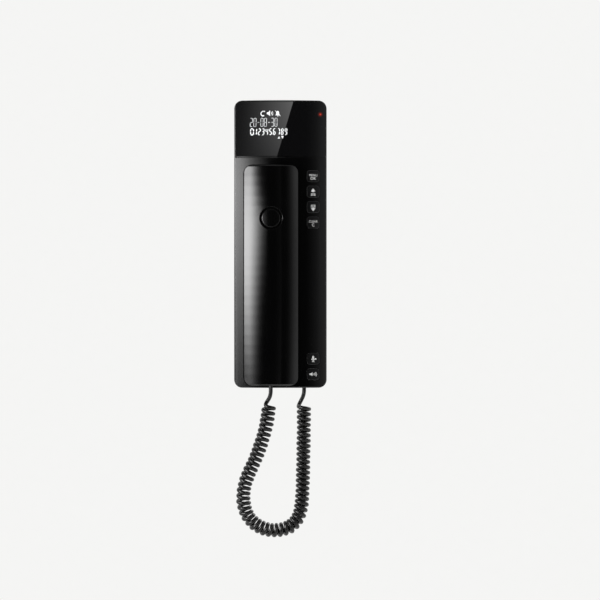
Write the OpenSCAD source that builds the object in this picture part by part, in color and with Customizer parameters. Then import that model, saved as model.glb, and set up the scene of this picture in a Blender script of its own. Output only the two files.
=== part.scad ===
// Slimline corded wall telephone: a flat base with a display and six keys, a handset that
// docks in a cradle with two wells, and a curly cord between them.
// +X is to the right, +Y goes into the wall, +Z is up. The origin lies on the back face of
// the base, midway between the two wall keyholes.

/* [Base] */
// Width of the base
base_w = 76; // [75:0.5:80]
// Height of the base
base_h = 236; // [236:1:242]
// Depth of the base, from the wall side to the front face
base_d = 25; // [25:0.5:27]
// Radius of the base's four corners
base_r = 6.7; // [6:0.1:8]
// Rise of the base's front across its width
crown = 4.8; // [4:0.1:5]
// Height of the display lens
lens_h = 45; // [44:0.5:46]
// Distance between the two wall keyholes
keyhole_pitch = 83; // [81:0.5:84]

/* [Handset] */
// Width of the handset
hs_w = 44; // [44:0.1:45]
// Length of the handset
hs_h = 180; // [180:0.5:181.5]
// Radius of the handset's four corners
hs_r = 6.5; // [6:0.1:7.5]
// Rise of the handset's back across its width
arch = 5; // [4:0.1:5.5]
// Rise of the handset's back along its length
bow = 3.4; // [3:0.1:3.6]

/* [Keys] */
// Width of a key on the base
key_w = 10.2; // [9:0.1:10.4]
// Height of a key on the base
key_h = 9.4; // [9:0.1:9.8]
// Distance between the keys on the base
key_pitch = 12.7; // [12.4:0.1:13]
// Distance between dial keys, across
dial_pitch_x = 11.8; // [11.4:0.1:12]
// Distance between dial keys, down
dial_pitch_z = 10.4; // [10:0.1:10.6]

/* [Cord] */
// Outer diameter of the curly part of the cord
coil_d = 12; // [11:0.5:12]
// Diameter of the cord itself
cord_d = 3; // [2.6:0.1:3.2]

/* [Hidden] */
$fn = 64;
FINE = 256;           // for the arched fronts of the base and the handset
wall = 2;             // wall of the base's shells
hs_wall = 1.8;        // wall of the handset's shells
foot = -base_h / 2;   // lower edge of the base
edge = 0.8;           // chamfer of the base's front edges
rear_edge = 2.2;      // chamfer round the base's back face
slack = 0.2;          // gap round a moving piece
eps = 0.01;

// Depth levels, all negative towards the user
y_split = -12;                  // seam between the base's two shells
y_front = -base_d;
y_skin = y_front + wall;        // inner side of the front wall
y_floor = y_front + 4.5;        // floor of the cradle's pocket
y_face = y_floor - 1.5;         // inner face of the docked handset
y_cap = y_face + 5;             // tips of the handset's ear and mouth caps
y_well = y_cap + 1.5;           // floors of the two wells
y_seam = y_face - 5;            // seam between the handset's shells
y_crown = y_face - 20;          // highest line of the handset's back
y_board = -11;                  // front of the main board

// The base's front turns about an axis parallel to Z. Depth of that surface, or of one that
// lies inset below it, at a place across the width
crown_r = (pow(base_w / 2, 2) + pow(crown, 2)) / (2 * crown);
function crown_y(x, inset = 0) = y_front + crown_r - sqrt(pow(crown_r - inset, 2) - x * x);

// Where the handset lies on the base
hs_x = -7.5;
hs_z = foot + 2.3 + hs_h / 2;
hs_top = hs_z + hs_h / 2;
hs_foot = hs_z - hs_h / 2;
pocket_gap = 0.8;
arch_r = (pow(hs_w / 2, 2) + pow(arch, 2)) / (2 * arch);

// Ear cap, mouth cap and the wells that take them
ear = [38, 34, 12];             // width, height, corner radius
mouth = [36, 24, 9];
ear_z = hs_top - 21.3;
receiver_z = ear_z - 3.4;
mouth_z = hs_foot + 17;
well_gap = 1.2;

// Display
lens_rim = 1;
lens_gap = 0.8;                 // dark line under the lens
lens_t = wall;
lens_z0 = base_h / 2 - lens_rim - lens_h;
window = [42, 31];
window_x = -9.3;
window_z = base_h / 2 - 20;
y_lcd = crown_y(abs(window_x) + window[0] / 2 + 1.25, lens_t + wall);   // seat of the display
led_x = 32.8;
led_z = base_h / 2 - 11.4;
led_r = 1.4;
y_led = crown_y(led_x - led_r, lens_t) + 0.4;                           // tip of the light

// Keys on the base: name and height of each
key_x = 26.9;
key_top = base_h / 2 - 62.2;
key_low = foot + 11.2;
BASE_KEYS = [
    ["key_menu", key_top],
    ["key_up", key_top - key_pitch],
    ["key_down", key_top - 2 * key_pitch],
    ["key_back", key_top - 3 * key_pitch],
    ["key_mute", key_low + key_pitch],
    ["key_speaker", key_low]
];
key_r = 2.2;
key_proud = 0.7;
key_flange = 0.6;
y_dome = crown_y(key_x + key_w / 2 + key_flange, wall) + 0.1 + key_flange;   // back of a base key
y_strip = y_dome + 2.5;         // front of the key board
sheet = 0.8;                    // thickness of the rubber sheets
strip = [8.4, 176];             // outline of the key board
strip_at = [25.8, -25.5];

// Dial keys on the handset's inner face
DIAL_KEYS = [
    "dial_1", "dial_2", "dial_3", "dial_4", "dial_5", "dial_6",
    "dial_7", "dial_8", "dial_9", "dial_star", "dial_0", "dial_hash"
];
dial_w = 9;
dial_h = 7;
dial_z = hs_z + 13.5;
dial_proud = 0.9;
y_dial_board = y_seam + 1;      // inner face of the handset's board
function dial_at(i) = [hs_x + (1 - i % 3) * dial_pitch_x, dial_z - (floor(i / 3) - 1.5) * dial_pitch_z];

// Hook switch
hook = [7, 4.4];
hook_z = hs_top - 47.5;
y_hook = -14;                   // back of the plunger's flange, at rest
hook_flange = 1.2;
spring_r = 2.3;
spring_wire = 0.5;
spring_turns = 4;

// Handset hanger in the ear well
tab = [12, 3];
tab_z = ear_z + 10.5;

// Speaker behind the cradle
speaker_r = 15;
speaker_z = hs_z - 33;

// Batteries lie across the base
cell_r = 5.1;
cell_l = 44.5;
cells_z = -13;
cells_x = -2;
bay = [48.6, 34];

// Jacks and plugs
plug = [7.6, 6.2, 11.5];        // width, depth, length
jack_wall = 1.1;
base_jack_x = 19.5;
base_jack_y = -6.2;
line_jack_y = -6.5;
hs_jack_x = -7.8;
hs_jack_y = -31.4;
plug_inset = 0.3;               // how far the plugs sit inside the ends
line_x = -21;
line_plug = [9.9, 6.8, 12];

// Fasteners and feet
SCREWS = [[-32.8, 73], [32.8, 82], [-32.8, -98], [32.8, -60]];
BOARD_POSTS = [[-24, 22], [24, 22], [-24, 91], [24, 91]];
HS_SCREWS = [[-17, 43.5], [17, 43.5], [-16, -52], [16, -52]];
WEIGHT_PEGS = [-30, -6];
boss_r = 2.6;
screw_r = 1.1;
head_r = 2.2;
FEET = [[-27, 98], [27, 98], [-27, -98], [27, -98]];
foot_r = 5;
foot_proud = 0.8;
keyhole_r = 4.4;
keyhole_slot = 2.1;
keyhole_rise = 6.5;

// Route of the cord, with heights counted from the base's lower edge: the curly part hangs in
// a loop, with a straight lead at each end
COIL_ROUTE = [
    [-9.2, -29, -14], [-10.6, -28, -25], [-12.4, -27, -34], [-15, -26, -43],
    [-18, -25, -52], [-21.6, -24, -61], [-25.8, -23, -70], [-29, -22, -79],
    [-30.4, -21, -88], [-29.8, -20, -97], [-26.4, -19, -106], [-19.6, -18, -113],
    [-10.4, -16.5, -117], [-1, -15, -117.4], [8, -13.5, -114.6], [14.2, -12, -108],
    [17, -11, -99], [18, -10, -88], [18.5, -9, -74], [18.8, -8.4, -60],
    [19.1, -8, -44], [19.3, -8, -30], [19.3, -8, -16]
];
HS_LEAD = [
    [hs_jack_x, hs_jack_y, 2.6], [hs_jack_x, hs_jack_y, -2], [-7.9, -31.3, -4],
    [-8.6, -30.8, -7], [-10.4, -30.2, -10], [-12, -29.7, -12.6], [-12.4, -29, -15]
];
BASE_LEAD = [
    [base_jack_x, base_jack_y, 0.3], [base_jack_x, base_jack_y, -2.4], [19.2, -6.4, -5],
    [18, -6.8, -8], [16, -7.2, -11], [15, -7.8, -14], [15.4, -8, -17]
];

// ---------------------------------------------------------------- general shapes

// A rectangle with round corners, centred
module round_rect(w, h, r) {
    square([w - 2 * r, h], center = true);
    square([w, h - 2 * r], center = true);
    for (sx = [-1, 1], sz = [-1, 1])
        translate([sx * (w / 2 - r), sz * (h / 2 - r)]) circle(r);
}

// Extrudes an outline drawn in X and Z from one depth to another
module slab(y_back, y_tip) {
    translate([0, y_back, 0]) rotate([90, 0, 0]) linear_extrude(y_back - y_tip) children();
}

// A rod along Y, or a cone where its tip has another radius
module rod(x, z, r, y_back, y_tip, r_tip = -1) {
    translate([x, y_back, z]) rotate([90, 0, 0])
        cylinder(h = y_back - y_tip, r1 = r, r2 = r_tip < 0 ? r : r_tip);
}

// A box between two corners
module box(a, b) {
    translate(a) cube(b - a);
}

// A round-cornered plate that narrows by e from depth y0 to depth y1
module tapered_plate(w, h, r, e, y0, y1) {
    for (sx = [-1, 1], sz = [-1, 1])
        translate([sx * (w / 2 - r), y0, sz * (h / 2 - r)]) rotate([y1 < y0 ? 90 : -90, 0, 0])
            cylinder(h = abs(y1 - y0), r1 = r, r2 = r - e);
    translate([0, 0, r - h / 2]) linear_extrude(h - 2 * r)
        polygon([[-w / 2, y0], [w / 2, y0], [w / 2 - e, y1], [e - w / 2, y1]]);
    translate([r - w / 2, 0, 0]) rotate([90, 0, 90]) linear_extrude(w - 2 * r)
        polygon([[y0, -h / 2], [y0, h / 2], [y1, h / 2 - e], [y1, e - h / 2]]);
}

// A tube of n sides swept along a route of points
module sweep(route, d, n) {
    last = len(route) - 1;
    ahead = [for (i = [0 : last]) unit(route[min(i + 1, last)] - route[max(i - 1, 0)])];
    side = [for (t = ahead) unit(cross(t, abs(t[1]) > 0.9 ? [0, 0, 1] : [0, 1, 0]))];
    rings = [for (i = [0 : last], k = [0 : n - 1])
        route[i] + d / 2 * (cos(360 * k / n) * side[i] + sin(360 * k / n) * cross(ahead[i], side[i]))];
    walls = [for (i = [0 : last - 1], k = [0 : n - 1])
        [i * n + k, i * n + (k + 1) % n, (i + 1) * n + (k + 1) % n, (i + 1) * n + k]];
    caps = [[for (k = [0 : n - 1]) n - 1 - k], [for (k = [0 : n - 1]) last * n + k]];
    faces = [for (f = concat(walls, caps)) [for (i = [len(f) - 1 : -1 : 0]) f[i]]];
    polyhedron(rings, faces, convexity = 8);
}
function unit(v) = v / norm(v);

// Points between the corners of a route, on a smooth curve through them
function smooth(p, steps) = [
    for (i = [0 : len(p) - 2], s = [0 : steps - 1])
        let (a = p[max(i - 1, 0)], b = p[i], c = p[i + 1], d = p[min(i + 2, len(p) - 1)], t = s / steps)
        0.5 * (2 * b + t * (c - a) + t * t * (2 * a - 5 * b + 4 * c - d)
            + t * t * t * (3 * b - a - 3 * c + d)),
    p[len(p) - 1]
];

// ---------------------------------------------------------------- outlines

module base_outline(inset = 0) {
    round_rect(base_w - 2 * inset, base_h - 2 * inset, base_r - inset);
}
module handset_outline(grow = 0) {
    translate([hs_x, hs_z]) round_rect(hs_w + 2 * grow, hs_h + 2 * grow, hs_r + grow);
}
module cap_outline(size, z, grow = 0) {
    translate([hs_x, z]) round_rect(size[0] + 2 * grow, size[1] + 2 * grow, size[2] + grow);
}
module lens_outline(grow, low) {
    intersection() {
        base_outline(lens_rim - grow);
        translate([-base_w / 2, low]) square([base_w, base_h]);
    }
}
module key_outline(z, grow = 0) {
    translate([key_x, z]) round_rect(key_w + 2 * grow, key_h + 2 * grow, key_r + grow);
}
module dial_outline(i, grow = 0) {
    translate(dial_at(i)) round_rect(dial_w + 2 * grow, dial_h + 2 * grow, 2 + grow);
}

// ---------------------------------------------------------------- base

// All that lies behind the base's crowned front, or behind a surface inset below it
module crowned(inset = 0) {
    out = crown_r - inset;
    end = base_h / 2;
    translate([0, y_front + crown_r, 0]) rotate([0, 0, -110])
        rotate_extrude(angle = 40, $fn = FINE) polygon([
            [out - base_d, -end], [out - edge, -end], [out, edge - end],
            [out, end - edge], [out - edge, end], [out - base_d, end]
        ]);
}
// A slab under the crowned front that starts a given depth below it
module under_crown(depth) {
    difference() {
        slab(y_split, y_front - 1) children();
        crowned(depth);
    }
}

// The base's outer form: its outline, crowned, with chamfered edges
module base_form() {
    side = crown_y(base_w / 2) + edge;
    half = base_w / 2;
    cut = side - (y_front - 1);
    intersection() {
        slab(y_split, y_front - 1) base_outline();
        crowned();
        translate([0, 0, foot]) linear_extrude(base_h) polygon([
            [-half, y_split + 1], [half, y_split + 1], [half, side],
            [half - cut, y_front - 1], [cut - half, y_front - 1], [-half, side]
        ]);
    }
}

// Grille of slots over the speaker, each as long as the round outline allows
module speaker_grille() {
    reach = speaker_r - 3;
    for (i = [-4 : 4]) {
        long = 2 * sqrt(reach * reach - pow(2.6 * i, 2));
        translate([hs_x, speaker_z + 2.6 * i]) square([long, 1.2], center = true);
    }
}

module front_shell() {
    color("#1c1d20") difference() {
        union() {
            difference() {
                base_form();
                intersection() {
                    slab(y_split + 1, y_front) base_outline(wall);
                    crowned(wall);
                }
            }
            // Inside, and grown into the front wall
            intersection() {
                crowned(wall / 2);
                union() {
                    // Ledge that the lens lies on, and the seat of the display
                    under_crown(lens_t + wall) lens_outline(0, lens_z0 - 4);
                    slab(y_lcd, y_front) translate([window_x, window_z])
                        square(window + [5, 6], center = true);
                    // Tray of the cradle
                    slab(y_floor + wall, y_front) intersection() {
                        handset_outline(pocket_gap + wall);
                        base_outline(wall / 2);
                    }
                    // Frames that guide the keys
                    for (k = BASE_KEYS) slab(y_strip - sheet, y_front) difference() {
                        key_outline(k[1], key_flange + slack + 1);
                        key_outline(k[1], key_flange + slack);
                    }
                    // Screw bosses
                    for (s = SCREWS) rod(s[0], s[1], boss_r, y_split, y_front);
                }
            }
            // Cups of the cradle's two wells
            slab(y_well + wall, y_floor) cap_outline(ear, ear_z, well_gap + wall);
            slab(y_well + wall, y_floor) cap_outline(mouth, mouth_z, well_gap + wall);
        }
        // Recess of the lens, its window and the hole for the light
        under_crown(lens_t) lens_outline(0.1, lens_z0 - lens_gap);
        slab(y_split, y_front) translate([window_x, window_z]) square(window, center = true);
        rod(led_x, led_z, led_r + 0.1, y_split, y_front);
        // Pocket and wells of the cradle
        slab(y_floor, y_front - 1) handset_outline(pocket_gap);
        slab(y_well, y_front) cap_outline(ear, ear_z, well_gap);
        slab(y_well, y_front) cap_outline(mouth, mouth_z, well_gap);
        // Slot for the hanger tab
        slab(y_split, y_front) translate([hs_x, tab_z]) square([tab[0] + 0.1, tab[1] + 0.1], center = true);
        // Openings for the keys, the plunger and the speaker
        for (k = BASE_KEYS) slab(y_dome, y_front - 1) key_outline(k[1], slack);
        slab(y_split, y_front) translate([hs_x, hook_z])
            square([hook[0] + 2 * slack, hook[1] + 2 * slack], center = true);
        slab(y_split, y_front) speaker_grille();
        for (s = SCREWS) rod(s[0], s[1], screw_r, y_split + 1, y_split - 7);
    }
}

// One keyhole: a round entry with a slot above it
module keyhole(z) {
    translate([0, z]) {
        circle(keyhole_r);
        translate([-keyhole_slot, 0]) square([2 * keyhole_slot, keyhole_rise]);
        translate([0, keyhole_rise]) circle(keyhole_slot);
    }
}

module rear_cover() {
    bay_in = [cells_x, cells_z];
    color("#232427") difference() {
        union() {
            difference() {
                union() {
                    slab(-rear_edge, y_split) base_outline(0.15);
                    tapered_plate(base_w - 0.3, base_h - 0.3, base_r - 0.15, rear_edge, -rear_edge, 0);
                }
                slab(-wall, y_split - 1) base_outline(wall + 0.6);
            }
            // Battery bay
            slab(-eps, -wall - 2 * cell_r - 1.8) translate(bay_in) square(bay + [3, 3], center = true);
            // Screw posts, rests for the main board and stiffening ribs
            for (s = SCREWS) rod(s[0], s[1], boss_r + 0.8, -eps, y_split);
            for (p = BOARD_POSTS) rod(p[0], p[1], 2.4, -eps, y_board + 1.6, 1.8);
            for (z = [-72, 14, 28, 57, 71])
                box([-35, -4.5, z], [35, -wall + eps, z + 1.4]);
        }
        slab(1, -wall - 2 * cell_r - 0.6) translate(bay_in) square(bay, center = true);
        slab(1, -wall) translate(bay_in) square(bay + [2.2, 2.2], center = true);
        slab(1, y_split) keyhole(keyhole_pitch / 2);
        slab(1, y_split) keyhole(-keyhole_pitch / 2);
        for (s = SCREWS) {
            rod(s[0], s[1], screw_r + 0.4, 1, y_split - 1);
            rod(s[0], s[1], head_r + 0.4, 1, -5);
        }
        for (f = FEET) rod(f[0], f[1], foot_r + 0.1, 1, -1);
        // Mouths of the two jacks in the lower wall
        jack_mouth(base_jack_x, base_jack_y, plug);
        jack_mouth(line_x, line_jack_y, line_plug);
    }
}
module jack_mouth(x, y, p) {
    box([x - p[0] / 2 - 1.5, y - p[1] / 2 - jack_wall, foot - 1],
        [x + p[0] / 2 + 1.5, y + p[1] / 2 + jack_wall, foot + wall + 1.5]);
}

module display_lens() {
    color("#050506") intersection() {
        under_crown(lens_t) lens_outline(0, lens_z0);
        crowned();
    }
}
module lcd_glass() {
    color("#101214") slab(y_lcd + 1.1, y_lcd) translate([window_x, window_z])
        square(window + [2.5, 4], center = true);
}
module lcd_backlight() {
    lit = y_lcd + 1.1;
    back = lit + 3.4;
    color("#e8e9e4") {
        slab(back, lit) translate([window_x, window_z]) square(window + [4, 4], center = true);
        // Pins down to the main board
        for (i = [0 : 9]) let (x = window_x - 18 + 4 * i)
            box([x, back - eps, window_z - 16], [x + 0.6, y_board, window_z - 15.4]);
    }
}
module event_led() {
    dome = -y_led - led_r;
    color("#c81e14") translate([led_x, 0, led_z]) rotate([90, 0, 0]) rotate_extrude() {
        translate([0, -y_board]) square([led_r + 0.4, 15 + y_board]);
        translate([0, -y_board]) square([led_r, dome + y_board]);
        intersection() {
            translate([0, dome]) circle(led_r);
            translate([0, dome - 0.5]) square(led_r + 1);
        }
    }
}

module main_board() {
    color("#1e5b3a") difference() {
        slab(y_board + 1.6, y_board) translate([0, 61]) square([68, 106], center = true);
        for (s = SCREWS) rod(s[0], s[1], boss_r + 1.3, 0, y_split - 1);
    }
}
module key_board() {
    color("#1e5b3a") difference() {
        slab(y_strip + 1.6, y_strip) translate(strip_at) square(strip, center = true);
        for (s = SCREWS) rod(s[0], s[1], boss_r + 0.3, 0, y_front);
    }
}
// Rubber sheet with a hollow dome behind each key
module dome(at, y_top, y_sheet) {
    difference() {
        rod(at[0], at[1], 3.8, y_sheet + eps, y_top, 3);
        rod(at[0], at[1], 2.8, y_sheet + 1, y_top + 0.6, 2);
    }
}
module key_membrane() {
    color("#3a3c40") {
        slab(y_strip, y_strip - sheet) translate(strip_at) square(strip - [0, 2], center = true);
        for (k = BASE_KEYS) dome([strip_at[0], k[1]], y_dome, y_strip - sheet);
    }
}

// A key: its crowned cap passes the wall, and its flange stays behind it
module key_cap(z) {
    color("#141518") {
        intersection() {
            slab(y_dome, y_front - key_proud) key_outline(z);
            crowned(-key_proud);
        }
        intersection() {
            slab(y_dome, y_front) key_outline(z, key_flange);
            crowned(wall + 0.1);
        }
    }
}

module ringer_speaker() {
    y0 = y_floor + wall;
    color("#8a8d92") translate([hs_x, y0, speaker_z]) rotate([-90, 0, 0]) difference() {
        rotate_extrude() polygon([
            [speaker_r - 2.5, 0], [speaker_r, 0], [speaker_r, 1.4], [speaker_r - 2, 1.8],
            [9.5, 4], [9.5, 8.4], [0, 8.4], [0, 4.2], [6, 4.2], [speaker_r - 2.5, 1.4]
        ]);
    }
}
module speaker_cone() {
    y0 = y_floor + wall;
    color("#2b2b2b") translate([hs_x, y0, speaker_z]) rotate([-90, 0, 0]) rotate_extrude()
        polygon([
            [speaker_r - 2.5, 0.2], [speaker_r - 2.5, 0.8], [speaker_r - 4, 1.2], [5, 3.4], [0, 2.2],
            [0, 1.8], [5, 3], [speaker_r - 4, 0.7]
        ]);
}

// Plunger at rest, held down by the docked handset; its arm works the switch
module hook_plunger() {
    tip = y_face + 0.15;
    color("#e4e4e0") {
        slab(y_hook, tip + 0.7) translate([hs_x, hook_z]) round_rect(hook[0], hook[1], 1);
        translate([hs_x, 0, hook_z]) tapered_plate(hook[0], hook[1], 1, 0.7, tip + 0.7, tip);
        slab(y_hook, y_hook - hook_flange) translate([hs_x, hook_z])
            round_rect(hook[0] + 2.6, hook[1] + 2.6, 1.5);
        box([hs_x, y_hook - hook_flange, hook_z - 1.5], [hs_x + 9.5, y_hook, hook_z + 1.5]);
        rod(hs_x, hook_z, 1.5, y_hook + 1.2, y_hook - eps);
    }
}
module hook_spring() {
    steps = 16;
    low = y_hook + spring_wire / 2;
    high = y_board - spring_wire / 2;
    count = spring_turns * steps;
    color("#b9bcc0") sweep([for (i = [0 : count]) let (a = 360 * i / steps)
        [hs_x + spring_r * cos(a), low + (high - low) * i / count, hook_z + spring_r * sin(a)]
    ], spring_wire, 6);
}
module hook_switch() {
    color("#2a2c30") box([hs_x + 5.2, y_board - 1.8, hook_z - 3], [hs_x + 11.2, y_board, hook_z + 3]);
    color("#d9d9d4") rod(hs_x + 8, hook_z, 0.9, y_board - 1.8 + eps, y_hook + 0.05);
}

// Tab that the handset's ear cap hangs on
module hanger_tab() {
    color("#1c1d20") {
        slab(y_well + wall + 1, y_cap - 3.4) translate([hs_x, tab_z]) square(tab, center = true);
        slab(y_well + wall + 1.2, y_well + wall) translate([hs_x, tab_z])
            square(tab + [3, 3], center = true);
    }
}

// A modular jack: a box open at its lower end
module jack(x, y, p, low) {
    top = low + p[2] + 0.8;
    difference() {
        box([x - p[0] / 2 - jack_wall, y - p[1] / 2 - jack_wall, low],
            [x + p[0] / 2 + jack_wall, y + p[1] / 2 + jack_wall, top + 1.2]);
        box([x - p[0] / 2 - 0.1, y - p[1] / 2 - 0.2, low - 1], [x + p[0] / 2 + 0.1, y + p[1] / 2, top]);
    }
}
module base_jack() {
    color("#17181a") jack(base_jack_x, base_jack_y, plug, foot + plug_inset);
}
module line_jack() {
    color("#17181a") jack(line_x, line_jack_y, line_plug, foot + plug_inset);
    // Sprung contacts on the cavity's far wall
    color("#c9a14a") for (i = [-1.5 : 1.5])
        box([line_x + 1.27 * i - 0.25, line_jack_y + line_plug[1] / 2 - 0.5, foot + 5],
            [line_x + 1.27 * i + 0.25, line_jack_y + line_plug[1] / 2 + 0.15, foot + 12]);
}

module battery_door() {
    color("#232427") {
        difference() {
            slab(0, -wall + 0.1) translate([cells_x, cells_z]) square(bay + [1.8, 1.8], center = true);
            // Finger grip
            for (i = [0 : 4])
                box([cells_x - 9, -0.7, cells_z + 9 + 1.5 * i], [cells_x + 9, 1, cells_z + 9.7 + 1.5 * i]);
        }
        // Foam rests that steady the cells
        for (x = [cells_x - 12, cells_x + 12])
            box([x - 2, -wall - 0.2, cells_z - 14], [x + 2, -wall + 0.2, cells_z + 14]);
    }
}
// Places its children along the axis of cell i, with the cell's positive end up
module at_cell(i) {
    translate([cells_x, -wall - 0.3 - cell_r, cells_z + 11 * i])
        rotate([0, i == 0 ? -90 : 90, 0]) children();
}
module batteries() {
    for (i = [-1 : 1]) at_cell(i) {
        color("#6f7479") translate([0, 0, -cell_l / 2 + 1]) cylinder(r = cell_r, h = cell_l - 2);
        color("#c0c2c4") translate([0, 0, cell_l / 2 - 1 - eps]) cylinder(r = 1.9, h = 1 + eps);
    }
}
// A flat plate at each end of each cell, with a cone spring at the negative one
module battery_contacts() {
    reach = bay[0] / 2;
    color("#c8cacb") for (i = [-1 : 1]) at_cell(i) {
        for (side = [-1, 1]) translate([0, 0, side * (reach - 0.25)]) cube([8, 8.6, 0.5], center = true);
        translate([0, 0, cell_l / 2]) cylinder(r1 = 1.2, r2 = 2.5, h = reach - 0.5 - cell_l / 2 + eps);
        translate([0, 0, 0.5 - reach - eps]) cylinder(r1 = 3.6, r2 = 2, h = reach + 0.5 - cell_l / 2 + eps);
    }
}

module housing_screws() {
    color("#9b9ea2") for (s = SCREWS) {
        rod(s[0], s[1], screw_r - 0.05, -4.9, y_split - 6);
        difference() {
            rod(s[0], s[1], head_r, -3.2, -5);
            box([s[0] - 1.6, -3.9, s[1] - 0.3], [s[0] + 1.6, -3, s[1] + 0.3]);
            box([s[0] - 0.3, -3.9, s[1] - 1.6], [s[0] + 0.3, -3, s[1] + 1.6]);
        }
    }
}
module rubber_feet() {
    color("#0c0c0d") for (f = FEET) {
        rod(f[0], f[1], foot_r, 0, -1);
        rod(f[0], f[1], foot_r - 0.5, foot_proud, -eps, foot_r);
    }
}

// ---------------------------------------------------------------- handset

// Outline of the back in a plane through the arch's axis, as radius and height: bowed along
// its length, with a softer edge at the upper end than at the lower one
function drop(z) = bow * pow((z - hs_z) / (hs_h / 2), 2);
function back_outline(inset) =
    let (soft = 1.4, crisp = 1, out = arch_r - inset, low = hs_foot + inset, high = hs_top - inset, n = 22,
        bend = out - drop(high - soft) - soft)
    concat(
        [[arch_r - 17, low], [out - drop(low) - crisp, low]],
        [for (i = [0 : n]) let (z = low + crisp + (high - low - soft - crisp) * i / n) [out - drop(z), z]],
        [for (i = [1 : 6]) [bend + soft * cos(15 * i), high - soft + soft * sin(15 * i)]],
        [[arch_r - 17, high]]
    );

// The back's surface turns about an axis parallel to Z, behind the handset
module arched_back(inset) {
    translate([hs_x, y_crown + arch_r, 0]) rotate([0, 0, -130])
        rotate_extrude(angle = 80, $fn = FINE) polygon(back_outline(inset));
}

module back_form(inset) {
    intersection() {
        arched_back(inset);
        slab(y_seam + (inset > 0 ? 1 : 0), y_crown - 1) handset_outline(-inset);
    }
}

inlay_z = hs_top - 43.6;
groove_r = 9.4;
inlay_r = 7.4;
y_inlay = y_crown + 3.2;            // floor of the inlay's seat

module handset_back() {
    color("#17181b") difference() {
        union() {
            difference() {
                back_form(0);
                back_form(hs_wall);
            }
            // Inside: the inlay's seat, screw posts, ribs, the weight's pegs and the jack's rest
            intersection() {
                back_form(hs_wall / 2);
                union() {
                    rod(hs_x, inlay_z, groove_r + 1.4, y_inlay + 1.6, y_crown);
                    for (s = HS_SCREWS) rod(hs_x + s[0], hs_z + s[1], 2.2, y_seam, y_crown);
                    for (z = [-70, -36, 0, 32, 62])
                        box([hs_x - 21, y_crown, hs_z + z - 0.6], [hs_x + 21, y_crown + 6, hs_z + z + 0.6]);
                    for (z = WEIGHT_PEGS) rod(hs_x, hs_z + z, 1.5, y_crown + 9.6, y_crown);
                    box([hs_jack_x - 4, y_crown, hs_foot + 2],
                        [hs_jack_x + 4, hs_jack_y - plug[1] / 2 - jack_wall, hs_foot + 12]);
                }
            }
        }
        rod(hs_x, inlay_z, groove_r, y_inlay, y_crown - 2);
        for (s = HS_SCREWS) rod(hs_x + s[0], hs_z + s[1], 0.9, y_seam + 1, y_seam - 6);
        slot = [plug[0] / 2, plug[1] / 2] + [1, 1] * (jack_wall + 0.2);
        box([hs_jack_x - slot[0], hs_jack_y - slot[1], hs_foot - 1],
            [hs_jack_x + slot[0], hs_jack_y + slot[1], hs_foot + 4]);
    }
}

// Disc set in a groove in the handset's back
module round_inlay() {
    color("#131417") intersection() {
        rod(hs_x, inlay_z, inlay_r, y_inlay, y_crown - 2);
        arched_back(0);
    }
}

// Rings of small holes over the receiver
module ear_holes() {
    for (ring = [[1, 0], [6, 3.4], [12, 6.8]], i = [0 : ring[0] - 1])
        translate([hs_x + ring[1] * cos(360 * i / ring[0]), receiver_z + ring[1] * sin(360 * i / ring[0])])
            circle(0.8, $fn = 24);
}

module handset_face() {
    color("#1a1b1e") difference() {
        union() {
            difference() {
                slab(y_face, y_seam) handset_outline(-0.25);
                slab(y_face - hs_wall, y_seam - 1) handset_outline(-0.25 - hs_wall);
            }
            slab(y_cap, y_face - eps) cap_outline(ear, ear_z);
            slab(y_cap, y_face - eps) cap_outline(mouth, mouth_z);
            for (s = HS_SCREWS) rod(hs_x + s[0], hs_z + s[1], 2.4, y_face - eps, y_seam);
            // Pads that the dial board rests on
            for (sx = [-1, 1], sz = [-1, 1])
                slab(y_face - eps, y_dial_board) translate([hs_x + sx * 19.4, dial_z + sz * 20])
                    square([2.4, 3], center = true);
        }
        slab(y_cap - hs_wall, y_seam - 1) cap_outline(ear, ear_z, -hs_wall);
        slab(y_cap - hs_wall, y_seam - 1) cap_outline(mouth, mouth_z, -hs_wall);
        slab(y_cap + 1, y_face) ear_holes();
        // Slot that hangs on the base's tab
        slab(y_cap + 1, y_cap - 3.8) translate([hs_x, tab_z - 0.3])
            square([tab[0] + 1.2, tab[1] + 1.2], center = true);
        for (i = [-1 : 1]) slab(y_cap + 1, y_face) translate([hs_x + 2.6 * i, mouth_z])
            square([1, 4], center = true);
        for (i = [0 : 11]) slab(y_face + 1, y_face - hs_wall - 1) dial_outline(i, slack);
        for (s = HS_SCREWS) {
            rod(hs_x + s[0], hs_z + s[1], 1.1, y_face + 1, y_seam - 1);
            rod(hs_x + s[0], hs_z + s[1], 1.9, y_face + 1, y_face - 1.6);
        }
    }
}

module receiver() {
    color("#55585d") translate([hs_x, y_cap - hs_wall, receiver_z]) rotate([90, 0, 0]) rotate_extrude()
        polygon([[0, 0.8], [8.6, 0.8], [10.2, 0], [11.6, 0], [11.6, 3.2], [9, 4.6], [9, 7.2], [0, 7.2]]);
}
module microphone() {
    color("#b4b7ba") rod(hs_x, mouth_z, 3, y_cap - hs_wall - 1.2, y_cap - hs_wall - 4.2);
}
module mic_boot() {
    color("#26272a") difference() {
        rod(hs_x, mouth_z, 5, y_cap - hs_wall, y_cap - hs_wall - 5);
        rod(hs_x, mouth_z, 3.02, y_cap - hs_wall - 1.2, y_cap - hs_wall - 6);
        rod(hs_x, mouth_z, 1.6, y_cap, y_cap - hs_wall - 2);
    }
}

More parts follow.
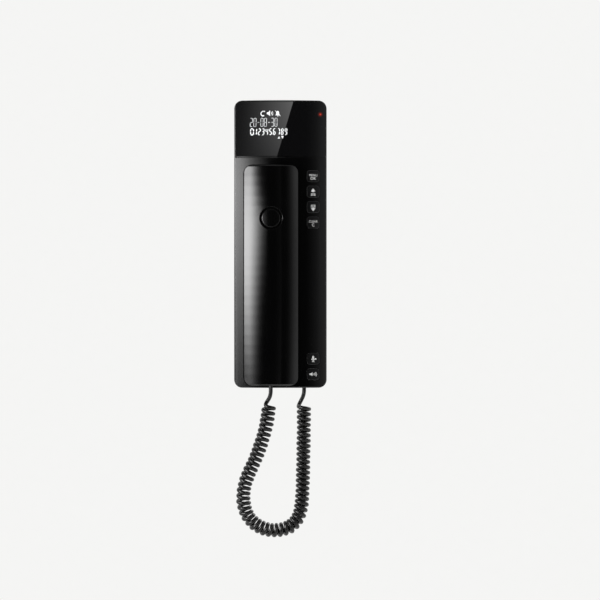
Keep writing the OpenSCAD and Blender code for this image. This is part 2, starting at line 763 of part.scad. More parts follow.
module dial_board() {
    color("#1e5b3a") slab(y_dial_board, y_dial_board - 1.4) translate([hs_x, dial_z])
        square([38, 46], center = true);
}
module dial_membrane() {
    top = y_face - hs_wall - 0.9;
    color("#3a3c40") {
        slab(y_dial_board + 0.7, y_dial_board) translate([hs_x, dial_z]) square([36, 43], center = true);
        for (i = [0 : 11]) rod(dial_at(i)[0], dial_at(i)[1], 2.4, top, y_dial_board + 0.7 - eps, 3);
    }
}
module dial_key(i) {
    color("#202125") {
        slab(y_face + dial_proud, y_face - hs_wall - 0.9) dial_outline(i);
        slab(y_face - hs_wall - 0.1, y_face - hs_wall - 0.9) dial_outline(i, 0.5);
    }
}
module handset_weight() {
    color("#7d8085") difference() {
        box([hs_x - 11, y_crown + 6, hs_z - 40], [hs_x + 11, y_crown + 9.8, hs_z + 4]);
        for (z = WEIGHT_PEGS) rod(hs_x, hs_z + z, 1.6, y_crown + 11, y_crown + 5);
    }
}
module handset_jack() {
    color("#17181a") jack(hs_jack_x, hs_jack_y, plug, hs_foot + plug_inset);
}
module handset_screws() {
    color("#9b9ea2") for (s = HS_SCREWS) {
        rod(hs_x + s[0], hs_z + s[1], 0.85, y_face - 1.5, y_seam - 5);
        translate([hs_x + s[0], 0, hs_z + s[1]]) difference() {
            rod(0, 0, 1.75, y_face - 0.3, y_face - 1.6);
            box([-1.2, y_face - 0.9, -0.25], [1.2, y_face, 0.25]);
            box([-0.25, y_face - 0.9, -1.2], [0.25, y_face, 1.2]);
        }
    }
}

// ---------------------------------------------------------------- cord

// A modular plug with its latch and four contacts
module plug_body(x, y, low) {
    wide = plug[0] / 2;
    deep = plug[1] / 2;
    long = plug[2];
    translate([x, y, low]) {
        color("#d8dce0") {
            box([-wide, 1.2 - deep, 0], [wide, deep, long]);
            for (side = [0.5 - wide, wide - 0.5]) box([side - 0.5, -deep, 5.5], [side + 0.5, 0, long]);
            box([-1.6, 0.2 - deep, 1], [1.6, 0.9 - deep, long - 0.6]);
            box([-1.6, 0.2 - deep, long - 1.6], [1.6, 0, long - 0.6]);
        }
        color("#c9a14a") for (i = [-1.5 : 1.5])
            box([1.27 * i - 0.2, deep - 1, long - 3.4], [1.27 * i + 0.2, deep, long + 0.2]);
    }
}
module handset_plug() {
    plug_body(hs_jack_x, hs_jack_y, hs_foot + plug_inset);
}
module base_plug() {
    plug_body(base_jack_x, base_jack_y, foot + plug_inset);
}
module handset_lead() {
    color("#1a1b1d") translate([0, 0, foot]) sweep(HS_LEAD, cord_d, 8);
}
module base_lead() {
    color("#1a1b1d") translate([0, 0, foot]) sweep(BASE_LEAD, cord_d, 8);
}
module curly_cord() {
    color("#1a1b1d") translate([0, 0, foot]) sweep(smooth(COIL_ROUTE, 2), coil_d, 12);
}

// ---------------------------------------------------------------- assembly

front_shell();
rear_cover();
display_lens();
lcd_glass();
lcd_backlight();
event_led();
main_board();
key_board();
key_membrane();
ringer_speaker();
speaker_cone();
hook_plunger();
hook_spring();
hook_switch();
hanger_tab();
base_jack();
line_jack();
battery_door();
batteries();
battery_contacts();
housing_screws();
rubber_feet();
for (k = BASE_KEYS) key_cap(k[1]);
handset_back();
handset_face();
round_inlay();
receiver();
microphone();
mic_boot();
dial_board();
dial_membrane();
handset_weight();
handset_jack();
handset_screws();
for (i = [0 : 11]) dial_key(i);
handset_plug();
base_plug();
handset_lead();
base_lead();
curly_cord();
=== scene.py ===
"""Cord, key legends, display, finishes and studio of a slimline wall telephone, round its CAD frame."""

import math

import bpy
import numpy as np
from bpy.props import FloatProperty, FloatVectorProperty, PointerProperty, StringProperty
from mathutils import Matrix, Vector


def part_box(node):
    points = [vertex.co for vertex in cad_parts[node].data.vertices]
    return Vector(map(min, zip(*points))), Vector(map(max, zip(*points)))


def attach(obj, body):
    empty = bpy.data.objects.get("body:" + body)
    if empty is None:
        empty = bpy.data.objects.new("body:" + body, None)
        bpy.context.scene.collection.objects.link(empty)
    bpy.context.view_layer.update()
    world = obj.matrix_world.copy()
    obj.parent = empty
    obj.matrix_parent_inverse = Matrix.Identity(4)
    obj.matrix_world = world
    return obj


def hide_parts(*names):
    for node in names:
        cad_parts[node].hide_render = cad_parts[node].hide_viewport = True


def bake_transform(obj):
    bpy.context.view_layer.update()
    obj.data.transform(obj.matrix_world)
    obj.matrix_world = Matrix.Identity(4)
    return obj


bl_info = {
    "name": "Slimline wall telephone",
    "version": (1, 0, 0),
    "blender": (4, 5, 0),
    "location": "View3D > Sidebar > Telephone",
    "description": "Adds the cord, key legends, display, finishes and studio of a wall telephone",
    "category": "Object",
}

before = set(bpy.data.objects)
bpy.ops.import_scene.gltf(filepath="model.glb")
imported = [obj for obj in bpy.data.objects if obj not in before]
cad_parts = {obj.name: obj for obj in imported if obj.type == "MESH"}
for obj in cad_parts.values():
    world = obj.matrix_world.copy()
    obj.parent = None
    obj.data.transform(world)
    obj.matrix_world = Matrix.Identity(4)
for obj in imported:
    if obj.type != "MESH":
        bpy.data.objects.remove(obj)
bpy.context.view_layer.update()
MM = 0.001

# Depths and places read from the frame
SHELL_LOW, SHELL_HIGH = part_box("front_shell")
LENS_LOW, LENS_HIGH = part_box("display_lens")
FOOT = SHELL_LOW.z
FRONT = SHELL_LOW.y
CROWN_RADIUS = 152.8 * MM  # of the base's arched front, as in the part's source

# The camera stands a little right of the telephone's middle and below it
EYE_X, EYE_Z = 0.0161, -0.0459

# Route of the cord, with heights counted from the base's lower edge, as in the part's source
COIL_ROUTE = [
    (-9.2, -29, -14), (-10.6, -28, -25), (-12.4, -27, -34), (-15, -26, -43),
    (-18, -25, -52), (-21.6, -24, -61), (-25.8, -23, -70), (-29, -22, -79),
    (-30.4, -21, -88), (-29.8, -20, -97), (-26.4, -19, -106), (-19.6, -18, -113),
    (-10.4, -16.5, -117), (-1, -15, -117.4), (8, -13.5, -114.6), (14.2, -12, -108),
    (17, -11, -99), (18, -10, -88), (18.5, -9, -74), (18.8, -8.4, -60),
    (19.1, -8, -44), (19.3, -8, -30), (19.3, -8, -16),
]
HANDSET_LEAD = [
    (-7.8, -31.4, 2.6), (-7.8, -31.4, -2), (-7.9, -31.3, -4), (-8.6, -30.6, -7), (-9.8, -29.4, -9.4),
]
BASE_LEAD = [
    (19.5, -6.2, 0.3), (19.5, -6.2, -2.4), (19.3, -6.2, -5), (18.5, -5.6, -8), (17.2, -4.8, -10.8),
]

CAPITALS = 0.72  # height of the lettering's capitals, as a share of its size

# Seven-segment figures: a top, b and c right, d foot, e and f left, g middle
SEGMENTS = {
    "0": "abcdef", "1": "bc", "2": "abged", "3": "abgcd", "4": "fgbc", "5": "afgcd",
    "6": "afgedc", "7": "abc", "8": "abcdefg", "9": "abcdfg", "-": "g",
}


# ------------------------------------------------------------------ settings

def length(name, description, default):
    return FloatProperty(name=name, description=description, default=default, unit="LENGTH")


def colour(name, description, default):
    return FloatVectorProperty(name=name, description=description, default=default, subtype="COLOR")


class CordSettings(bpy.types.PropertyGroup):
    """Sizes of the curly cord"""

    wire: length("Wire", "Diameter of the cord", 3.3 * MM)
    coil: length("Coil", "Outer diameter of the curls", 12.0 * MM)
    pitch: length("Pitch", "Distance from one curl to the next", 4.35 * MM)


class PrintSettings(bpy.types.PropertyGroup):
    """Legends on the keys and figures on the display"""

    ink: length("Ink", "Thickness of the printed ink", 0.04 * MM)
    words: length("Words", "Height of the words on the keys", 2.1 * MM)
    figures: length("Figures", "Height of the figures on the dial keys", 4.2 * MM)
    number: StringProperty(name="Number", description="Lower row of the display", default="0123456789")
    date: StringProperty(name="Date", description="Upper row of the display", default="20-08-30")


class FinishSettings(bpy.types.PropertyGroup):
    """Colours of the plastics and inks"""

    shell: colour("Shell", "Colour of the shells", (0.0005, 0.0005, 0.0006))
    ink: colour("Ink", "Colour of the key legends", (0.80, 0.80, 0.79))
    lamp: colour("Lamp", "Colour of the event lamp", (0.72, 0.045, 0.02))


class StageSettings(bpy.types.PropertyGroup):
    """The studio round the telephone"""

    paper: colour("Paper", "Colour of the floor and backdrop", (0.92, 0.92, 0.91))
    frame_width: length("Frame width", "Width that the picture shows at the telephone", 0.492)
    distance: length("Distance", "From the camera to the telephone's front", 1.8)
    key_lamp: FloatProperty(
        name="Key lamp", description="Brightness of the soft box on the left", default=14.2, min=0.0
    )
    air: FloatProperty(
        name="Air", description="Brightness of the light from all round", default=0.5, min=0.0
    )


# ------------------------------------------------------------------ helpers

def deselect():
    bpy.ops.object.select_all(action="DESELECT")


def activate(*objects):
    """Selects only these objects and makes the first one active."""
    deselect()
    for obj in objects:
        obj.select_set(True)
    bpy.context.view_layer.objects.active = objects[0]


def settle(obj):
    """Moves an object's place, turn and size into its mesh."""
    activate(obj)
    bpy.ops.object.transform_apply(location=True, rotation=True, scale=True)


def joined(name, pieces):
    """One object from several, with its place in its mesh."""
    activate(*pieces)
    if len(pieces) > 1:
        bpy.ops.object.join()
    obj = bpy.context.object
    obj.name = obj.data.name = name
    settle(obj)
    return obj


def finish_with(obj, material):
    """Gives an object one material."""
    obj.data.materials.clear()
    obj.data.materials.append(material)


def srgb(code):
    """Linear colour of a hex code such as "1C1D20"."""
    values = [int(code[i:i + 2], 16) / 255 for i in (0, 2, 4)]
    return tuple(v / 12.92 if v <= 0.04045 else ((v + 0.055) / 1.055) ** 2.4 for v in values) + (1.0,)


def add(tree, kind, inputs=None, **settings):
    """Adds a node. An input is a value, an output socket, or a node that gives its first output."""
    node = tree.nodes.new(kind)
    for name, value in settings.items():
        setattr(node, name, value)
    for key, value in (inputs or {}).items():
        if isinstance(value, bpy.types.Node):
            value = value.outputs[0]
        if isinstance(value, bpy.types.NodeSocket):
            tree.links.new(value, node.inputs[key])
        else:
            node.inputs[key].default_value = value
    return node


def new_material(name):
    """An empty node material, its node tree, and the socket of its Object coordinates."""
    material = bpy.data.materials.new(name)
    material.use_nodes = True
    tree = material.node_tree
    tree.nodes.clear()
    return material, tree, add(tree, "ShaderNodeTexCoord").outputs["Object"]


def surfaced(material, shader):
    """The material, with this shader as its surface."""
    add(material.node_tree, "ShaderNodeOutputMaterial", {"Surface": shader})
    return material


def profile(tree, value, stops):
    """A grey level that follows a value through stops of (value, level)."""
    node = add(tree, "ShaderNodeValToRGB", {"Fac": value})
    elements = node.color_ramp.elements
    while len(elements) < len(stops):
        elements.new(0.5)
    for element, (at, level) in zip(elements, stops):
        element.position = at
        element.color = (level, level, level, 1)
    return node


def smooth_route(points, steps):
    """Points on a smooth curve through a route's points."""
    p = [np.array(q, float) for q in points]
    out = []
    for i in range(len(p) - 1):
        a, b, c, d = p[max(i - 1, 0)], p[i], p[i + 1], p[min(i + 2, len(p) - 1)]
        for s in range(steps):
            t = s / steps
            out.append(0.5 * (2 * b + t * (c - a) + t * t * (2 * a - 5 * b + 4 * c - d)
                              + t ** 3 * (3 * b - a - 3 * c + d)))
    out.append(p[-1])
    return np.array(out)


def evenly(points, step):
    """Points on the same line, the given distance apart."""
    gaps = np.linalg.norm(np.diff(points, axis=0), axis=1)
    run = np.concatenate([[0], np.cumsum(gaps)])
    count = max(2, int(round(run[-1] / step)) + 1)
    at = np.linspace(0, run[-1], count)
    return np.stack([np.interp(at, run, points[:, k]) for k in range(3)], axis=1)


def joining_curve(start, start_way, end, end_way, steps):
    """Points of a smooth curve that leaves one point and reaches another in given directions."""
    t = np.linspace(0, 1, steps + 1)[1:-1, None]
    return ((2 * t ** 3 - 3 * t ** 2 + 1) * start + (t ** 3 - 2 * t ** 2 + t) * start_way
            + (3 * t ** 2 - 2 * t ** 3) * end + (t ** 3 - t ** 2) * end_way)


# ------------------------------------------------------------------ finishes

def polished_abs(name, tint, low, high, rounding=0.45, peel=0.03, edge_glint=0.0):
    """High-gloss black ABS from a polished mould.

    The flow of the melt leaves a faint waviness some 3 mm across, and handling leaves
    patches that are slightly duller. The moulded edges are rounded by about half a millimetre.
    """
    material, tree, place = new_material(name)
    handling = add(tree, "ShaderNodeTexNoise", {
        "Vector": place, "Scale": 45.0, "Detail": 5.0, "Roughness": 0.6,
    })
    # Fine wiping scratches run mostly up and down, about 0.4 mm apart
    stretched = add(tree, "ShaderNodeMapping", {"Vector": place, "Scale": (2500.0, 2500.0, 90.0)})
    scratches = add(tree, "ShaderNodeTexNoise", {"Vector": stretched, "Scale": 1.0})
    mixed = add(tree, "ShaderNodeMath", {0: scratches, 1: 0.3, 2: handling}, operation="MULTIPLY_ADD")
    rough = add(tree, "ShaderNodeMapRange", {
        "Value": mixed, "From Min": 0.4, "From Max": 0.95, "To Min": low, "To Max": high,
    })
    waves = add(tree, "ShaderNodeTexNoise", {"Vector": place, "Scale": 330.0, "Detail": 1.0})
    edges = add(tree, "ShaderNodeBevel", {"Radius": rounding * MM}, samples=6)
    bump = add(tree, "ShaderNodeBump", {
        "Height": waves, "Strength": peel, "Distance": 0.0002, "Normal": edges,
    })
    shader = add(tree, "ShaderNodeBsdfPrincipled", {
        "Base Color": tint, "Roughness": rough, "IOR": 1.54, "Normal": bump,
    })
    if edge_glint:
        # Painted highlight: the edges grow paler where the rounded normal turns away from the face, standing in
        # for light caught on them
        shape = add(tree, "ShaderNodeNewGeometry")
        turn = add(tree, "ShaderNodeVectorMath", {
            0: shape.outputs["Normal"], 1: edges,
        }, operation="DOT_PRODUCT")
        painted_glint = add(tree, "ShaderNodeMapRange", {
            "Value": turn.outputs["Value"], "From Min": 0.99, "From Max": 0.85, "To Max": edge_glint,
        })
        shade = add(tree, "ShaderNodeMixRGB", {"Fac": painted_glint, "Color1": tint, "Color2": srgb("6A6A6A")})
        tree.links.new(shade.outputs["Color"], shader.inputs["Base Color"])
    return surfaced(material, shader)


def sparked_abs(name, tint, low, high, grain=0.35, rounding=0.4):
    """Matt ABS from a spark-eroded mould: an even pebble grain of about a third of a millimetre."""
    material, tree, place = new_material(name)
    pebbles = add(tree, "ShaderNodeTexVoronoi", {
        "Vector": place, "Scale": 1 / (grain * MM), "Randomness": 1.0,
    }, feature="SMOOTH_F1")
    handling = add(tree, "ShaderNodeTexNoise", {"Vector": place, "Scale": 35.0, "Detail": 4.0})
    rough = add(tree, "ShaderNodeMapRange", {"Value": handling, "To Min": low, "To Max": high})
    edges = add(tree, "ShaderNodeBevel", {"Radius": rounding * MM}, samples=6)
    bump = add(tree, "ShaderNodeBump", {
        "Height": pebbles, "Strength": 0.35, "Distance": 0.00006, "Normal": edges,
    })
    shader = add(tree, "ShaderNodeBsdfPrincipled", {
        "Base Color": tint, "Roughness": rough, "IOR": 1.52, "Normal": bump,
    })
    return surfaced(material, shader)


def smoked_acrylic():
    """Acrylic window printed black behind: a hard mirror gloss, with faint smears from wiping."""
    material, tree, place = new_material("acrylic, printed black behind")
    smears = add(tree, "ShaderNodeTexNoise", {
        "Vector": place, "Scale": 38.0, "Detail": 5.0, "Distortion": 1.2,
    })
    rough = add(tree, "ShaderNodeMapRange", {
        "Value": smears, "From Min": 0.35, "From Max": 0.75, "To Min": 0.015, "To Max": 0.045,
    })
    edges = add(tree, "ShaderNodeBevel", {"Radius": 0.35 * MM}, samples=6)
    shader = add(tree, "ShaderNodeBsdfPrincipled", {
        "Base Color": srgb("0A0A0B"), "Roughness": rough, "IOR": 1.49, "Normal": edges,
    })
    return surfaced(material, shader)


def screen_ink(name, tint, glow):
    """Two-part screen ink: opaque and semi-matt, a little thin where the mesh of the screen printed."""
    material, tree, place = new_material(name)
    mesh_marks = add(tree, "ShaderNodeTexNoise", {"Vector": place, "Scale": 2200.0, "Detail": 2.0})
    shade = add(tree, "ShaderNodeMixRGB", {
        "Fac": mesh_marks, "Color1": tint, "Color2": tuple(0.82 * c for c in tint[:3]) + (1.0,),
    })
    shader = add(tree, "ShaderNodeBsdfPrincipled", {
        "Base Color": shade, "Roughness": 0.5, "IOR": 1.5,
        "Emission Color": tint, "Emission Strength": glow,
    })
    return surfaced(material, shader)


def lit_acrylic(tint, middle, reach):
    """The display's acrylic over the lit lamp: a bright core, and a glow that fades within the reach."""
    material, tree, place = new_material("acrylic, lit from behind")
    front = add(tree, "ShaderNodeVectorMath", {0: place, 1: (1, 0, 1)}, operation="MULTIPLY")
    away = add(tree, "ShaderNodeVectorMath", {0: front, 1: middle}, operation="DISTANCE")
    share = add(tree, "ShaderNodeMath", {0: away.outputs["Value"], 1: reach}, operation="DIVIDE")
    glow = profile(tree, share, ((0, 1), (0.16, 0.85), (0.28, 0.38), (0.42, 0.15), (0.7, 0.05), (1, 0)))
    power = add(tree, "ShaderNodeMath", {0: glow, 1: 0.95}, operation="MULTIPLY")
    shader = add(tree, "ShaderNodeBsdfPrincipled", {
        "Base Color": srgb("0A0A0B"), "Roughness": 0.04, "IOR": 1.49,
        "Emission Color": tint, "Emission Strength": power,
    })
    return surfaced(material, shader)


def clear_lamp(tint):
    """Tinted epoxy of a small lamp: smooth, slightly cloudy, and lit."""
    material, tree, place = new_material("tinted epoxy, lit")
    cloud = add(tree, "ShaderNodeTexNoise", {"Vector": place, "Scale": 1200.0})
    rough = add(tree, "ShaderNodeMapRange", {"Value": cloud, "To Min": 0.12, "To Max": 0.22})
    shader = add(tree, "ShaderNodeBsdfPrincipled", {
        "Base Color": tint, "Roughness": rough, "IOR": 1.52,
        "Emission Color": tint, "Emission Strength": 0.35,
    })
    return surfaced(material, shader)


def extruded_pvc():
    """Soft PVC of a curly cord: semi-matt, with a fine grain and a dusty bloom."""
    material, tree, place = new_material("soft PVC, extruded")
    bloom = add(tree, "ShaderNodeTexNoise", {"Vector": place, "Scale": 120.0, "Detail": 4.0})
    grain = add(tree, "ShaderNodeTexNoise", {"Vector": place, "Scale": 1500.0, "Detail": 2.0})
    shade = add(tree, "ShaderNodeMixRGB", {
        "Fac": bloom, "Color1": srgb("080808"), "Color2": srgb("121110"),
    })
    rough = add(tree, "ShaderNodeMapRange", {"Value": bloom, "To Min": 0.26, "To Max": 0.38})
    bump = add(tree, "ShaderNodeBump", {"Height": grain, "Strength": 0.1, "Distance": 0.0001})
    shader = add(tree, "ShaderNodeBsdfPrincipled", {
        "Base Color": shade, "Roughness": rough, "IOR": 1.53, "Normal": bump,
    })
    return surfaced(material, shader)


def moulded_rubber(name, tint, rough_low=0.6):
    """Silicone or rubber: soft, matt and slightly dusty."""
    material, tree, place = new_material(name)
    dust = add(tree, "ShaderNodeTexNoise", {"Vector": place, "Scale": 260.0, "Detail": 6.0})
    dusty = tuple(min(1.0, 1.6 * c + 0.004) for c in tint[:3]) + (1.0,)
    shade = add(tree, "ShaderNodeMixRGB", {"Fac": dust, "Color1": tint, "Color2": dusty})
    rough = add(tree, "ShaderNodeMapRange", {
        "Value": dust, "To Min": rough_low, "To Max": min(1.0, rough_low + 0.25),
    })
    bump = add(tree, "ShaderNodeBump", {"Height": dust, "Strength": 0.2, "Distance": 0.0001})
    shader = add(tree, "ShaderNodeBsdfPrincipled", {
        "Base Color": shade, "Roughness": rough, "IOR": 1.45, "Normal": bump,
    })
    return surfaced(material, shader)


def plated_metal(name, tint, low, high):
    """Zinc or nickel plate over pressed steel: cloudy, with fine rolling marks 0.2 mm apart."""
    material, tree, place = new_material(name)
    rolled = add(tree, "ShaderNodeMapping", {"Vector": place, "Scale": (5000.0, 300.0, 300.0)})
    marks = add(tree, "ShaderNodeTexNoise", {"Vector": rolled, "Scale": 1.0, "Detail": 2.0})
    cloud = add(tree, "ShaderNodeTexNoise", {"Vector": place, "Scale": 220.0, "Detail": 4.0})
    rough = add(tree, "ShaderNodeMapRange", {"Value": cloud, "To Min": low, "To Max": high})
    bump = add(tree, "ShaderNodeBump", {"Height": marks, "Strength": 0.1, "Distance": 0.00005})
    shader = add(tree, "ShaderNodeBsdfPrincipled", {
        "Base Color": tint, "Metallic": 1.0, "Roughness": rough, "Normal": bump,
    })
    return surfaced(material, shader)


def clear_polycarbonate():
    """Polycarbonate of the cord's plugs: clear and glossy, slightly grey in the thick."""
    material, tree, place = new_material("polycarbonate, clear")
    flow = add(tree, "ShaderNodeTexNoise", {"Vector": place, "Scale": 300.0, "Detail": 2.0})
    rough = add(tree, "ShaderNodeMapRange", {"Value": flow, "To Min": 0.06, "To Max": 0.16})
    shader = add(tree, "ShaderNodeBsdfPrincipled", {
        "Base Color": srgb("D5DADB"), "Roughness": rough, "IOR": 1.58, "Transmission Weight": 0.85,
    })
    return surfaced(material, shader)


def circuit_board():
    """Glass-epoxy board: green mask over copper tracks 1.6 mm apart, and bare tinned pads."""
    material, tree, place = new_material("glass-epoxy board, green mask")
    squares = add(tree, "ShaderNodeMapping", {"Vector": place, "Scale": (625.0, 1.0, 625.0)})
    tracks = add(tree, "ShaderNodeTexVoronoi", {
        "Vector": squares, "Scale": 1.0, "Randomness": 0.35,
    }, feature="F1", distance="CHEBYCHEV")
    copper = add(tree, "ShaderNodeMath", {0: tracks, 1: 0.42}, operation="GREATER_THAN")
    pads = add(tree, "ShaderNodeMath", {0: tracks, 1: 0.13}, operation="LESS_THAN")
    mask = add(tree, "ShaderNodeMixRGB", {
        "Fac": copper, "Color1": srgb("12402A"), "Color2": srgb("1F6B40"),
    })
    shade = add(tree, "ShaderNodeMixRGB", {"Fac": pads, "Color1": mask, "Color2": srgb("B9BCC0")})
    shader = add(tree, "ShaderNodeBsdfPrincipled", {
        "Base Color": shade, "Roughness": 0.38, "IOR": 1.5, "Metallic": pads,
    })
    return surfaced(material, shader)


def pressed_fibre():
    """Paper pulp of a small cone: dull and fibrous."""
    material, tree, place = new_material("paper pulp, pressed")
    fibres = add(tree, "ShaderNodeTexNoise", {
        "Vector": place, "Scale": 700.0, "Detail": 6.0, "Distortion": 2.0,
    })
    shade = add(tree, "ShaderNodeMixRGB", {
        "Fac": fibres, "Color1": srgb("1A1917"), "Color2": srgb("3A3733"),
    })
    bump = add(tree, "ShaderNodeBump", {"Height": fibres, "Strength": 0.5, "Distance": 0.0001})
    shader = add(tree, "ShaderNodeBsdfPrincipled", {
        "Base Color": shade, "Roughness": 0.85, "Normal": bump,
    })
    return surfaced(material, shader)


def cell_jacket():
    """Shrunk PVC jacket of a dry cell: dark, with a lighter band at one end."""
    material, tree, place = new_material("PVC jacket, shrunk")
    spread = add(tree, "ShaderNodeSeparateXYZ", {"Vector": place})
    band = add(tree, "ShaderNodeMath", {0: spread.outputs["X"], 1: 0.009}, operation="GREATER_THAN")
    ripple = add(tree, "ShaderNodeTexNoise", {"Vector": place, "Scale": 400.0})
    shade = add(tree, "ShaderNodeMixRGB", {
        "Fac": band, "Color1": srgb("26282B"), "Color2": srgb("A97F3C"),
    })
    rough = add(tree, "ShaderNodeMapRange", {"Value": ripple, "To Min": 0.22, "To Max": 0.34})
    shader = add(tree, "ShaderNodeBsdfPrincipled", {
        "Base Color": shade, "Roughness": rough, "IOR": 1.5,
    })
    return surfaced(material, shader)


# ------------------------------------------------------------------ drawing

def flat_shape(points):
    """An upright flat shape, filled, from a closed line of points in millimetres."""
    curve = bpy.data.curves.new("shape", "CURVE")
    curve.dimensions = "2D"
    curve.fill_mode = "BOTH"
    spline = curve.splines.new("POLY")
    spline.points.add(len(points) - 1)
    spline.points.foreach_set("co", [v for x, z in points for v in (x * MM, z * MM, 0, 1)])
    spline.use_cyclic_u = True
    obj = bpy.data.objects.new("shape", curve)
    bpy.context.collection.objects.link(obj)
    obj.rotation_euler = (math.pi / 2, 0, 0)
    activate(obj)
    bpy.ops.object.convert(target="MESH")
    return bpy.context.object


def word(body, height, turn=(math.pi / 2, 0, 0), weight=0.0, squeeze=1.0):
    """A word as a flat mesh, its centre at the origin, with capitals of the given height."""
    bpy.ops.object.text_add(rotation=turn)
    obj = bpy.context.object
    obj.data.body = body
    obj.data.align_x, obj.data.align_y = "CENTER", "CENTER"
    obj.data.size = height / CAPITALS
    obj.data.offset = weight * height
    obj.scale = (squeeze, 1, 1)
    activate(obj)
    bpy.ops.object.convert(target="MESH")
    return bpy.context.object


def bar(a, b, width):
    """Corners of a straight stroke from a to b, with pointed ends."""
    (ax, az), (bx, bz) = a, b
    long, half = math.hypot(bx - ax, bz - az), width / 2
    wx, wz = (bx - ax) / long * half, (bz - az) / long * half
    return [
        (ax, az), (ax + wx - wz, az + wz + wx), (bx - wx - wz, bz - wz + wx),
        (bx, bz), (bx - wx + wz, bz - wz - wx), (ax + wx + wz, az + wz - wx),
    ]


def arc(x, z, r, start, end, width, steps=10):
    """Corners of a curved stroke round (x, z), angles in degrees."""
    angles = [math.radians(start + (end - start) * i / steps) for i in range(steps + 1)]
    outer = [(x + (r + width / 2) * math.cos(a), z + (r + width / 2) * math.sin(a)) for a in angles]
    inner = [(x + (r - width / 2) * math.cos(a), z + (r - width / 2) * math.sin(a)) for a in angles]
    return outer + inner[::-1]


def figures(text, left, foot, pitch, height, width, stroke, slant):
    """Shapes of a row of seven-segment figures, in millimetres."""
    shapes = []
    gap = stroke * 0.12
    for i, figure in enumerate(text):
        x0, h = left + pitch * i, height / 2
        corners = {
            "a": ((0, 2 * h), (width, 2 * h)), "b": ((width, 2 * h), (width, h)),
            "c": ((width, h), (width, 0)), "d": ((width, 0), (0, 0)), "e": ((0, 0), (0, h)),
            "f": ((0, h), (0, 2 * h)), "g": ((0, h), (width, h)),
        }
        for name in SEGMENTS.get(figure, ""):
            (ax, az), (bx, bz) = corners[name]
            long = math.hypot(bx - ax, bz - az)
            ux, uz = (bx - ax) / long * gap, (bz - az) / long * gap
            points = bar((ax + ux, az + uz), (bx - ux, bz - uz), stroke)
            shapes.append([(x0 + x + slant * z, foot + z) for x, z in points])
    return shapes


def moved(shapes, x, z):
    return [[(px + x, pz + z) for px, pz in shape] for shape in shapes]


def print_on(name, pieces, node, material, body):
    """Lays flat shapes on a CAD node as a thin film of ink that moves with a body."""
    film = joined(name, pieces)
    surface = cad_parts[node]
    thickness = bpy.context.scene.telephone_print.ink
    depths = [v.co.y for v in surface.data.vertices]
    front = max(depths) + MM if body.startswith("dial") else min(depths) - MM
    for vertex in film.data.vertices:
        vertex.co.y = front
    wrap = film.modifiers.new("wrap", "SHRINKWRAP")
    wrap.target = surface
    wrap.wrap_method = "PROJECT"
    wrap.use_project_x, wrap.use_project_y, wrap.use_project_z = False, True, False
    wrap.use_negative_direction = wrap.use_positive_direction = True
    wrap.wrap_mode = "ABOVE_SURFACE"
    wrap.offset = thickness * 0.75
    activate(film)
    bpy.ops.object.modifier_apply(modifier="wrap")
    solid = film.modifiers.new("ink", "SOLIDIFY")
    solid.thickness = thickness
    solid.offset = 0
    bpy.ops.object.modifier_apply(modifier="ink")
    finish_with(film, material)
    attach(film, body)
    return film


# ------------------------------------------------------------------ operators

